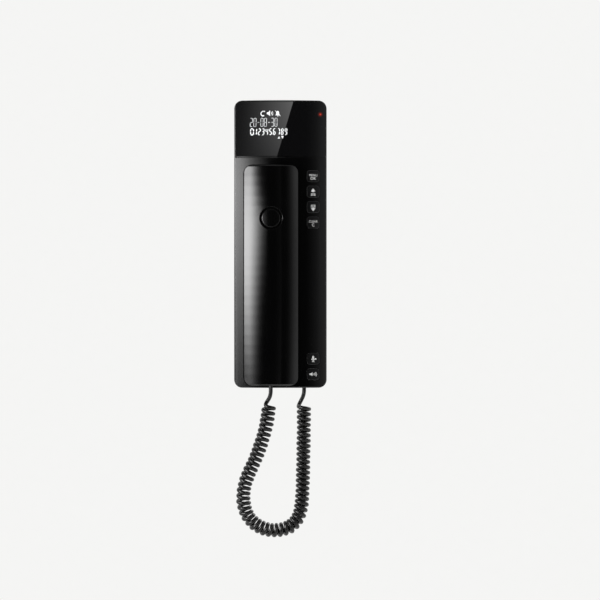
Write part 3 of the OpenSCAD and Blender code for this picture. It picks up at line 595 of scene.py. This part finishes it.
class TELEPHONE_OT_stage(bpy.types.Operator):
    """Adds the camera, the paper sweep, the lamps and the light of the room"""

    bl_idname = "telephone.stage"
    bl_label = "Stage"

    def execute(self, context):
        scene = context.scene
        settings = scene.telephone_stage
        scene.view_settings.view_transform = "Standard"
        self.camera(context, settings)
        self.room(scene, settings)
        self.paper(settings)
        self.soft_box(settings)
        self.rear_lamp()
        self.side_card()
        self.lens_card(settings)
        return {"FINISHED"}

    def camera(self, context, settings):
        """Square on to the wall."""
        deselect()
        bpy.ops.object.camera_add(
            location=(EYE_X, FRONT - settings.distance, EYE_Z), rotation=(math.pi / 2, 0, 0)
        )
        camera = context.object
        camera.name = "camera"
        camera.data.sensor_width = 36
        camera.data.lens = camera.data.sensor_width * settings.distance / settings.frame_width
        camera.data.clip_start, camera.data.clip_end = 0.05, 30
        context.scene.camera = camera

    def room(self, scene, settings):
        """Even white light from all round. Gloss sees a studio that is dark in front and paler beside."""
        world = bpy.data.worlds.new("studio air")
        scene.world = world
        world.use_nodes = True
        tree = world.node_tree
        tree.nodes.clear()
        way = add(tree, "ShaderNodeTexCoord")
        front = add(tree, "ShaderNodeVectorMath", {
            0: way.outputs["Generated"], 1: (-math.sin(0.14), -math.cos(0.14), 0),
        }, operation="DOT_PRODUCT")
        dark = profile(tree, front.outputs["Value"], (
            (0.45, 0.65), (0.53, 0.6), (0.669, 0.5), (0.743, 0.33), (0.809, 0.22), (0.883, 0.09),
            (0.92, 0.045), (0.956, 0.018), (1.0, 0.008),
        ))
        spread = add(tree, "ShaderNodeSeparateXYZ", {"Vector": way.outputs["Generated"]})
        level = add(tree, "ShaderNodeMapRange", {
            "Value": spread.outputs["Z"], "From Min": -0.7, "From Max": 0.5, "To Min": 1.7, "To Max": 0.4,
        }, interpolation_type="SMOOTHSTEP")
        gloss_level = add(tree, "ShaderNodeMath", {0: dark, 1: level}, operation="MULTIPLY")
        rays = add(tree, "ShaderNodeLightPath")
        seen = add(tree, "ShaderNodeMath", {
            0: rays.outputs["Is Camera Ray"], 1: rays.outputs["Is Transmission Ray"],
        }, operation="MAXIMUM")
        air = add(tree, "ShaderNodeBackground", {"Color": (1, 1, 1, 1), "Strength": settings.air})
        gloss = add(tree, "ShaderNodeBackground", {"Color": (1, 1, 1, 1), "Strength": gloss_level})
        white = add(tree, "ShaderNodeBackground", {"Color": (*settings.paper, 1), "Strength": 1.0})
        lit = add(tree, "ShaderNodeMixShader", {0: rays.outputs["Is Glossy Ray"], 1: air, 2: gloss})
        out = add(tree, "ShaderNodeMixShader", {0: seen, 1: lit, 2: white})
        add(tree, "ShaderNodeOutputWorld", {"Surface": out})

    def paper(self, settings):
        """One sheet of pale paper: the floor far below, and the backdrop that it sweeps up into."""
        floor, wide, deep, tall = -1.3, 8, 3.6, 4.2
        behind = deep / 2 - 0.1
        deselect()
        bpy.ops.mesh.primitive_plane_add(size=1, location=(0, 0, floor))
        sheet = bpy.context.object
        sheet.name = "paper_sweep"
        sheet.scale = (wide, deep, 1)
        settle(sheet)
        bpy.ops.object.mode_set(mode="EDIT")
        bpy.ops.mesh.select_mode(type="EDGE")
        bpy.ops.mesh.select_all(action="DESELECT")
        bpy.ops.object.mode_set(mode="OBJECT")
        for edge in sheet.data.edges:
            edge.select = all(sheet.data.vertices[v].co.y > behind for v in edge.vertices)
        bpy.ops.object.mode_set(mode="EDIT")
        bpy.ops.mesh.extrude_region_move(TRANSFORM_OT_translate={"value": (0, 0, tall)})
        bpy.ops.object.mode_set(mode="OBJECT")
        for edge in sheet.data.edges:
            ends = [sheet.data.vertices[v].co for v in edge.vertices]
            edge.select = all(c.y > behind and c.z < floor + 0.1 for c in ends)
        bpy.ops.object.mode_set(mode="EDIT")
        bpy.ops.mesh.bevel(offset=0.6, segments=16, affect="EDGES")
        bpy.ops.object.mode_set(mode="OBJECT")
        bpy.ops.object.shade_smooth()
        material, tree, place = new_material("paper, matt")
        fibres = add(tree, "ShaderNodeTexNoise", {"Vector": place, "Scale": 60.0, "Detail": 3.0})
        shade = add(tree, "ShaderNodeMixRGB", {
            "Fac": fibres, "Color1": (*settings.paper, 1),
            "Color2": tuple(0.985 * c for c in settings.paper) + (1,),
        })
        matt = add(tree, "ShaderNodeBsdfDiffuse", {"Color": shade})
        pale = add(tree, "ShaderNodeEmission", {"Color": shade, "Strength": 1.0})
        rays = add(tree, "ShaderNodeLightPath")
        seen = add(tree, "ShaderNodeMath", {
            0: rays.outputs["Is Camera Ray"], 1: rays.outputs["Is Glossy Ray"],
        }, operation="MAXIMUM")
        seen = add(tree, "ShaderNodeMath", {
            0: seen, 1: rays.outputs["Is Transmission Ray"],
        }, operation="MAXIMUM")
        mix = add(tree, "ShaderNodeMixShader", {0: seen, 1: matt, 2: pale})
        finish_with(sheet, surfaced(material, mix))

    def card(self, name, corners, strength):
        """A glowing card that the camera doesn't see. strength gives its level from u and v."""
        deselect()
        bpy.ops.mesh.primitive_grid_add(x_subdivisions=16, y_subdivisions=16, size=1)
        card = bpy.context.object
        card.name = name
        low_left, low_right, high_right, high_left = (np.array(c, float) for c in corners)
        for vertex in card.data.vertices:
            u, v = vertex.co.x + 0.5, vertex.co.y + 0.5
            low = (1 - u) * low_left + u * low_right
            high = (1 - u) * high_left + u * high_right
            vertex.co = (1 - v) * low + v * high
        material, tree, place = new_material(name)
        spread = add(tree, "ShaderNodeSeparateXYZ", {"Vector": place.node.outputs["UV"]})
        glow = add(tree, "ShaderNodeEmission", {
            "Color": (1, 1, 1, 1), "Strength": strength(tree, spread.outputs["X"], spread.outputs["Y"]),
        })
        finish_with(card, surfaced(material, glow))
        card.visible_camera = card.visible_shadow = card.visible_transmission = False
        return card

    def soft_box(self, settings):
        """The key lamp: a soft box to the left, brightest near its middle and fading to all sides."""
        middle = Vector((-0.62, -0.62, 0.12))
        ahead = (-middle).normalized()
        right = Vector((0, 0, 1)).cross(ahead).normalized()
        up = ahead.cross(right)
        left, wide, low, tall = -0.64, 1.69, -0.50, 0.78
        brightest = -0.04
        corners = [middle + right * x + up * z for x, z in (
            (left, low), (left + wide, low), (left + wide, low + tall), (left, low + tall))]

        def dimmed(z):
            """The cloth's level at a height, which falls off faster above the brightest one."""
            reach, power = (0.187, 2.79) if z > brightest else (0.243, 2.33)
            return math.exp(-(abs(z - brightest) / reach) ** power)

        def strength(tree, u, v):
            # How far the light reaches sideways at each height
            reach = profile(tree, v, [((z - low) / tall, width) for z, width in (
                (-0.35, 0.175), (-0.25, 0.18), (-0.2, 0.195), (-0.15, 0.215), (-0.1, 0.245), (-0.05, 0.265),
                (0.0, 0.285), (0.05, 0.21), (0.1, 0.145), (0.2, 0.12))])
            aside = add(tree, "ShaderNodeMapRange", {
                "Value": u, "To Min": left + 0.01, "To Max": left + wide + 0.01,
            })
            # How fast it fades to the left of the middle, which is sooner low down
            fade = profile(tree, v, [((z - low) / tall, rate) for z, rate in (
                (-0.35, 0.82), (-0.25, 0.7), (-0.15, 0.53), (-0.05, 0.38), (0.05, 0.28), (0.2, 0.22))])
            leftward = add(tree, "ShaderNodeMath", {0: aside, 1: fade}, operation="MULTIPLY")
            rightward = add(tree, "ShaderNodeMath", {0: aside, 1: -1.0}, operation="MULTIPLY")
            away = add(tree, "ShaderNodeMath", {0: leftward, 1: rightward}, operation="MAXIMUM")
            part = add(tree, "ShaderNodeMath", {0: away, 1: reach}, operation="DIVIDE")
            third = add(tree, "ShaderNodeMath", {0: part, 1: 1 / 3}, operation="MULTIPLY")
            across = profile(tree, third, [
                (x / 3, math.exp(-x ** 1.75))
                for x in (0, 0.2, 0.4, 0.6, 0.8, 1, 1.2, 1.4, 1.6, 1.8, 2, 2.3, 2.6, 3)])
            upward = profile(tree, v, [((z - low) / tall, dimmed(z)) for z in (
                -0.5, -0.44, -0.38, -0.33, -0.28, -0.23, -0.18, -0.13, -0.08, -0.04, 0.0, 0.04,
                0.08, 0.12, 0.16, 0.2, 0.28)])
            cloth = add(tree, "ShaderNodeMath", {0: across, 1: upward}, operation="MULTIPLY")
            return add(tree, "ShaderNodeMath", {0: cloth, 1: settings.key_lamp}, operation="MULTIPLY")

        self.card("soft box", corners, strength)

    def rear_lamp(self):
        """A broad soft lamp above and behind, for the back and the far sides."""
        place = Vector((0.9, 1.1, 1.0))
        deselect()
        bpy.ops.object.light_add(type="AREA", location=place)
        lamp = bpy.context.object
        lamp.name = "rear lamp"
        lamp.data.size = 0.9
        lamp.data.energy = 9.0
        lamp.rotation_euler = (-place).to_track_quat("-Z", "Y").to_euler()
        lamp.visible_camera = False

    def side_card(self):
        """A dim card close by on the right, mirrored in the glossy fronts near their right edges."""
        y, start, end = FRONT - 0.1, 0.03, 0.33
        corners = [(x, y, z) for x, z in ((start, -0.19), (end, -0.19), (end, 0.15), (start, 0.15))]

        def strength(tree, u, _):
            return profile(tree, u, [((x - start) / (end - start), level) for x, level in (
                (0.03, 0.012), (0.05, 0.02), (0.058, 0.04), (0.065, 0.07), (0.071, 0.11), (0.077, 0.17),
                (0.084, 0.25), (0.091, 0.33), (0.1, 0.45), (0.112, 0.62), (0.14, 0.72), (0.2, 0.6),
                (0.33, 0.4))])

        card = self.card("side card", corners, strength)
        card.visible_diffuse = False

    def lens_card(self, settings):
        """A strip of card close before the display window, which mirrors it up to a slanting edge."""
        y = LENS_LOW.y - 12 * MM
        radius, past_left = CROWN_RADIUS, 20 * MM
        eye = Vector((EYE_X, FRONT - settings.distance, EYE_Z))

        def mirrored(x, z):
            """Where the line from the camera goes on the card's plane after the window."""
            point = Vector((x, FRONT + radius - math.sqrt(radius ** 2 - x ** 2), z))
            normal = Vector((x / radius, -math.sqrt(1 - (x / radius) ** 2), 0))
            ray = (point - eye).normalized()
            ray -= 2 * ray.dot(normal) * normal
            return point + ray * ((y - point.y) / ray.y)

        low, high = LENS_LOW.z - 0.4 * MM, LENS_HIGH.z + 1.0 * MM
        corners = [mirrored(x, z) for x, z in (
            (-0.0372, low), (-0.0029, low), (0.0109, high), (-0.0372, high))]
        corners[0].x -= past_left
        corners[3].x -= past_left
        share = past_left / (corners[1].x - corners[0].x)

        def strength(tree, u, v):
            along = add(tree, "ShaderNodeMapRange", {"Value": u, "From Min": share, "From Max": 1.0})
            rise = add(tree, "ShaderNodeMath", {0: along, 1: 1.6}, operation="POWER")
            top = add(tree, "ShaderNodeMapRange", {"Value": v, "To Min": 0.77, "To Max": 2.75})
            return add(tree, "ShaderNodeMath", {0: rise, 1: top, 2: 0.14}, operation="MULTIPLY_ADD")

        card = self.card("window card", corners, strength)
        card.visible_diffuse = False


class TELEPHONE_OT_cord(bpy.types.Operator):
    """Winds the curly cord from the base's jack to the handset's"""

    bl_idname = "telephone.cord"
    bl_label = "Curly cord"

    def execute(self, context):
        settings = context.scene.telephone_cord
        radius = (settings.coil - settings.wire) / 2
        foot = np.array([0, 0, FOOT])
        spine = evenly(smooth_route(COIL_ROUTE[::-1], 12) * MM + foot, 0.2 * MM)
        run = np.linspace(0, 1, len(spine))
        long = np.linalg.norm(np.diff(spine, axis=0), axis=1).sum()
        # Half a turn over, so that the winding begins and ends on the left
        turns = round(long / settings.pitch) - 0.5
        per_turn = 24
        count = int(turns * per_turn)
        at = np.linspace(0, 1, count + 1)
        centre = np.stack([np.interp(at, run, spine[:, k]) for k in range(3)], axis=1)
        ahead = np.gradient(centre, axis=0)
        ahead /= np.linalg.norm(ahead, axis=1)[:, None]
        side = np.cross(ahead, np.array([0.0, 1.0, 0.0]))
        side /= np.linalg.norm(side, axis=1)[:, None]
        up = np.cross(side, ahead)
        # No two curls are quite alike
        uneven = 1 + 0.02 * np.sin(at * 61) + 0.015 * np.sin(at * 147 + 1)
        angle = math.pi + 2 * math.pi * turns * at + 0.25 * np.sin(at * 23) * np.sin(math.pi * at)
        helix = centre + (radius * uneven)[:, None] * (
            np.cos(angle)[:, None] * side + np.sin(angle)[:, None] * up)
        # Its last quarter turn opens into the handset's lead
        helix = helix[:-per_turn // 4]
        leads = [evenly(smooth_route(r, 10) * MM + foot, 1.1 * MM) for r in (BASE_LEAD, HANDSET_LEAD)]
        ways = [(line[-1] - line[-2]) / np.linalg.norm(line[-1] - line[-2]) for line in leads]
        starts = helix[1] - helix[0], helix[-2] - helix[-1]
        joins = []
        for lead, way, end, start, leave, meet in zip(
                leads, ways, (helix[0], helix[-1]), starts, (1.1, 1.5), (1.1, 2.0)):
            reach = np.linalg.norm(end - lead[-1])
            start = start / np.linalg.norm(start)
            joins.append(joining_curve(lead[-1], way * reach * leave, end, start * reach * meet, 10))
        path = np.concatenate([leads[0], joins[0], helix, joins[1][::-1], leads[1][::-1]])
        curve = bpy.data.curves.new("cord_line", "CURVE")
        curve.dimensions = "3D"
        spline = curve.splines.new("POLY")
        spline.points.add(len(path) - 1)
        spline.points.foreach_set("co", np.column_stack([path, np.ones(len(path))]).ravel())
        curve.bevel_depth = settings.wire / 2
        curve.bevel_resolution = 4
        curve.use_fill_caps = True
        cord = bpy.data.objects.new("cord", curve)
        context.collection.objects.link(cord)
        activate(cord)
        bpy.ops.object.convert(target="MESH")
        cord = context.object
        bpy.ops.object.shade_smooth()
        finish_with(cord, extruded_pvc())
        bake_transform(cord)
        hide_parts("curly_cord", "handset_lead", "base_lead")
        return {"FINISHED"}


class TELEPHONE_OT_key_legends(bpy.types.Operator):
    """Prints the words and signs on the base's six keys"""

    bl_idname = "telephone.key_legends"
    bl_label = "Key legends"

    def execute(self, context):
        settings = context.scene.telephone_print
        tint = (*context.scene.telephone_finish.ink, 1)
        # The white key ink also gives off a faint light of its own: painted light, since ink is no lamp
        ink = screen_ink("screen ink, white", tint, 0.12)
        legends = {
            "key_menu": lambda: self.words("MENU", "OK", settings.words, 0.6, -2.0),
            "key_up": lambda: self.shapes(moved(self.arrow(1) + self.book(-1.2), 0, -0.8)),
            "key_down": lambda: self.shapes(self.arrow(-1) + self.book(1.2)),
            "key_back": lambda: self.words("CLEAR", "C", settings.words, 0.75, -2.15),
            "key_mute": lambda: self.shapes(self.microphone()),
            "key_speaker": lambda: self.shapes(self.loudspeaker()),
        }
        for node, draw in legends.items():
            low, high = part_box(node)
            middle = (low + high) / 2
            pieces = draw()
            for piece in pieces:
                piece.location = (middle.x + piece.location.x, low.y - MM, middle.z + piece.location.z)
                settle(piece)
            print_on(node.replace("key_", "legend_"), pieces, node, ink, node)
        return {"FINISHED"}

    def words(self, upper, lower, height, upper_z, lower_z):
        first = word(upper, height * 0.9, squeeze=0.95)
        first.location.z = upper_z * MM
        second = word(lower, height * 1.1, weight=0.016)
        second.location.z = lower_z * MM
        return [first, second]

    def shapes(self, shapes):
        return [flat_shape(shape) for shape in shapes]

    def arrow(self, way):
        return [[(-1.9, way * 0.9), (0, way * 3.4), (1.9, way * 0.9), (0.8, way * 0.9), (0.8, way * 0.35),
                 (-0.8, way * 0.35), (-0.8, way * 0.9)]]

    def book(self, z):
        """An open book: two leaves with lines of writing between them."""
        leaves = []
        for side in (-1, 1):
            spine, inner, outer = side * 0.18, side * 0.25, side * 1.9
            leaves.append([(spine, z - 1.15), (outer, z - 1.5), (outer, z - 1.15), (spine, z - 0.8)])
            for k in range(3):
                foot = z - 0.55 + 0.5 * k
                leaves.append([
                    (inner, foot), (outer, foot - 0.2), (outer, foot + 0.08), (inner, foot + 0.28)])
        return leaves

    def microphone(self):
        """A microphone on its stand, with a bar across it."""
        head = [(0.8 * math.cos(a), 1.5 + 0.8 * math.sin(a)) for a in np.linspace(0, math.pi, 9)]
        head += [(0.8 * math.cos(a), 0.1 + 0.8 * math.sin(a)) for a in np.linspace(math.pi, 2 * math.pi, 9)]
        return [
            head, arc(0, 0.1, 1.35, 180, 360, 0.42), bar((0, -1.1), (0, -2.4), 0.5),
            bar((-1.1, -2.4), (1.1, -2.4), 0.5),
            bar((1.4, 0.5), (2.7, -0.8), 0.42), bar((1.4, -0.8), (2.7, 0.5), 0.42),
        ]

    def loudspeaker(self):
        """A loudspeaker with three waves of sound."""
        horn = [(-3.1, -0.6), (-2.1, -0.6), (-0.5, -1.55), (-0.5, 1.55), (-2.1, 0.6), (-3.1, 0.6)]
        return [horn] + [arc(-0.5, 0, r, -34, 34, 0.42) for r in (1.2, 2.15, 3.1)]


class TELEPHONE_OT_dial_figures(bpy.types.Operator):
    """Prints the figures on the handset's twelve dial keys"""

    bl_idname = "telephone.dial_figures"
    bl_label = "Dial figures"

    def execute(self, context):
        settings = context.scene.telephone_print
        ink = screen_ink("screen ink, dial white", (*context.scene.telephone_finish.ink, 1), 0.0)
        signs = {str(i): str(i) for i in range(10)} | {"star": "*", "hash": "#"}
        for name, sign in signs.items():
            node = "dial_" + name
            low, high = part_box(node)
            middle = (low + high) / 2
            figure = word(sign, settings.figures, turn=(math.pi / 2, 0, math.pi), weight=0.012)
            figure.location = (middle.x, high.y + MM, middle.z - (0.9 * MM if name == "star" else 0))
            settle(figure)
            print_on("figure_" + name, [figure], node, ink, node)
        return {"FINISHED"}


class TELEPHONE_OT_display(bpy.types.Operator):
    """Draws what the display shows: signs, date, number and two pointers"""

    bl_idname = "telephone.display"
    bl_label = "Display"

    def execute(self, context):
        settings = context.scene.telephone_print
        lit = screen_ink("liquid crystal, lit segments", (0.83, 0.84, 0.85, 1), 0.28)
        faint = screen_ink("liquid crystal, thin segments", (0.62, 0.63, 0.64, 1), 0.10)
        shapes = figures(settings.number[:1], -24.4, 89.7, 3.0, 4.9, 2.3, 0.95, 0.0)
        shapes += figures(settings.number[1:7], -21.3, 89.7, 3.08, 4.9, 1.55, 0.8, 0.07)
        shapes += figures(settings.number[7:], -2.4, 89.7, 3.0, 4.9, 1.5, 0.8, 0.07)
        shapes += [[(-2.2, 86.4), (-1.2, 88.5), (-0.2, 86.4)], [(0.6, 88.6), (1.7, 86.3), (2.8, 88.6)]]
        shapes += self.handset_sign() + self.speaker_sign() + self.bell_sign()
        self.lay("display_number", shapes, lit)
        date = figures(settings.date, -24.8, 96.4, 2.88, 6.8, 1.9, 0.5, 0.03)
        self.lay("display_date", date, faint)
        low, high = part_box("event_led")
        x, z = (low.x + high.x) / 2 / MM, (low.z + high.z) / 2 / MM
        reach = 2.4
        round_about = np.linspace(0, 2 * math.pi, 33)[:-1]
        disc = [(x + reach * math.cos(a), z + reach * math.sin(a)) for a in round_about]
        lit_lamp = lit_acrylic((*context.scene.telephone_finish.lamp, 1), (x * MM, 0, z * MM), reach * MM)
        self.lay("lamp_glow", [disc], lit_lamp)
        return {"FINISHED"}

    def lay(self, name, shapes, material):
        pieces = [flat_shape(shape) for shape in shapes]
        print_on(name, pieces, "display_lens", material, "base")

    def handset_sign(self):
        """A small handset lying on its side."""
        return [arc(-14.0, 106.9, 1.95, 75, 262, 0.75), bar((-13.8, 108.9), (-12.4, 108.6), 1.2),
                bar((-14.4, 105.1), (-13.1, 105.5), 1.2)]

    def speaker_sign(self):
        return [[(-11.1, 106.4), (-10.1, 106.4), (-8.4, 104.9), (-8.4, 109.6), (-10.1, 108.1), (-11.1, 108.1)],
                arc(-8.6, 107.2, 1.3, -45, 45, 0.42), arc(-8.6, 107.2, 2.5, -45, 45, 0.42)]

    def bell_sign(self):
        """A bell with a bar across it, for no ringing."""
        bell = [(-4.2, 105.6), (-3.5, 106.4), (-3.3, 108.4), (-2.6, 109.2), (-1.8, 109.2), (-1.1, 108.4),
                (-0.9, 106.4), (-0.2, 105.6)]
        clapper = [(-2.9, 105.3), (-2.5, 104.8), (-1.9, 104.8), (-1.5, 105.3)]
        return [bell, clapper, bar((-4.4, 109.6), (0.1, 104.8), 0.4)]


class TELEPHONE_OT_finishes(bpy.types.Operator):
    """Gives each CAD node the finish of its real material"""

    bl_idname = "telephone.finishes"
    bl_label = "Finishes"

    def execute(self, context):
        settings = context.scene.telephone_finish
        shell = (*settings.shell, 1)
        finishes = {
            polished_abs("ABS, polished mould", shell, 0.12, 0.17):
                ("front_shell", "handset_back"),
            polished_abs("ABS, polished disc", shell, 0.14, 0.2, rounding=1.0): ("round_inlay",),
            # The keys' rounded edges get a painted highlight, a paler grey blended into their colour
            polished_abs("ABS, polished keys", srgb("101011"), 0.2, 0.26, rounding=0.5, edge_glint=0.7):
                ("key_menu", "key_up", "key_down", "key_back", "key_mute", "key_speaker"),
            polished_abs("ABS, satin inner face", srgb("0B0B0C"), 0.3, 0.38): ("handset_face", "hanger_tab"),
            sparked_abs("ABS, spark-eroded mould", srgb("121314"), 0.5, 0.62):
                ("rear_cover", "battery_door", "hook_plunger"),
            sparked_abs("nylon, moulded", srgb("18191A"), 0.42, 0.55, grain=0.5):
                ("base_jack", "line_jack", "handset_jack", "hook_switch"),
            sparked_abs("ABS, dial keys", srgb("1D1E20"), 0.42, 0.5, grain=0.25):
                tuple("dial_" + n for n in (*map(str, range(10)), "star", "hash")),
            smoked_acrylic(): ("display_lens",),
            clear_lamp((*settings.lamp, 1)): ("event_led",),
            moulded_rubber("rubber, moulded feet", srgb("171718")): ("rubber_feet", "mic_boot"),
            moulded_rubber("silicone, carbon-filled", srgb("4A4D50"), 0.5): ("key_membrane", "dial_membrane"),
            plated_metal("steel, zinc plated", srgb("A9ADB1"), 0.28, 0.42):
                ("housing_screws", "handset_screws", "hook_spring", "handset_weight"),
            plated_metal("steel, nickel plated", srgb("C8C4B8"), 0.18, 0.3): ("battery_contacts", "microphone"),
            plated_metal("steel, pressed basket", srgb("83868A"), 0.35, 0.5): ("ringer_speaker", "receiver"),
            clear_polycarbonate(): ("base_plug", "handset_plug"),
            circuit_board(): ("main_board", "key_board", "dial_board"),
            pressed_fibre(): ("speaker_cone",),
            cell_jacket(): ("batteries",),
            screen_ink("acrylic, milky light guide", (0.8, 0.82, 0.8, 1), 0.05): ("lcd_backlight",),
            polished_abs("soda glass, dark display", srgb("151A1A"), 0.04, 0.08): ("lcd_glass",),
        }
        left = set(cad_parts) - {"curly_cord", "base_lead", "handset_lead"}
        for material, names in finishes.items():
            for name in names:
                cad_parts[name].data.materials[0] = material
                left.discard(name)
        if left:
            raise RuntimeError("nodes without a finish: " + ", ".join(sorted(left)))
        return {"FINISHED"}


class TELEPHONE_PT_panel(bpy.types.Panel):
    """Lists the telephone's pieces and their settings"""

    bl_idname = "TELEPHONE_PT_panel"
    bl_label = "Wall telephone"
    bl_space_type = "VIEW_3D"
    bl_region_type = "UI"
    bl_category = "Telephone"

    def draw(self, context):
        layout = self.layout
        for title, group, operators in (
            ("Stage", "telephone_stage", ("telephone.stage",)),
            ("Cord", "telephone_cord", ("telephone.cord",)),
            ("Print", "telephone_print", (
                "telephone.key_legends", "telephone.dial_figures", "telephone.display")),
            ("Finishes", "telephone_finish", ("telephone.finishes",)),
        ):
            box = layout.box()
            box.label(text=title)
            settings = getattr(context.scene, group)
            for name in settings.bl_rna.properties.keys():
                if name not in ("rna_type", "name"):
                    box.prop(settings, name)
            for operator in operators:
                box.operator(operator)


GROUPS = {
    "telephone_cord": CordSettings, "telephone_print": PrintSettings,
    "telephone_finish": FinishSettings, "telephone_stage": StageSettings,
}
CLASSES = (
    *GROUPS.values(),
    TELEPHONE_OT_stage, TELEPHONE_OT_cord, TELEPHONE_OT_key_legends, TELEPHONE_OT_dial_figures,
    TELEPHONE_OT_display, TELEPHONE_OT_finishes, TELEPHONE_PT_panel,
)


def register():
    for cls in CLASSES:
        bpy.utils.register_class(cls)
    for name, group in GROUPS.items():
        setattr(bpy.types.Scene, name, PointerProperty(type=group))


def unregister():
    for name in GROUPS:
        delattr(bpy.types.Scene, name)
    for cls in reversed(CLASSES):
        bpy.utils.unregister_class(cls)


def main():
    register()
    bpy.ops.telephone.stage()
    bpy.ops.telephone.cord()
    bpy.ops.telephone.key_legends()
    bpy.ops.telephone.dial_figures()
    bpy.ops.telephone.display()
    bpy.ops.telephone.finishes()


if __name__ == "__main__":
    main()
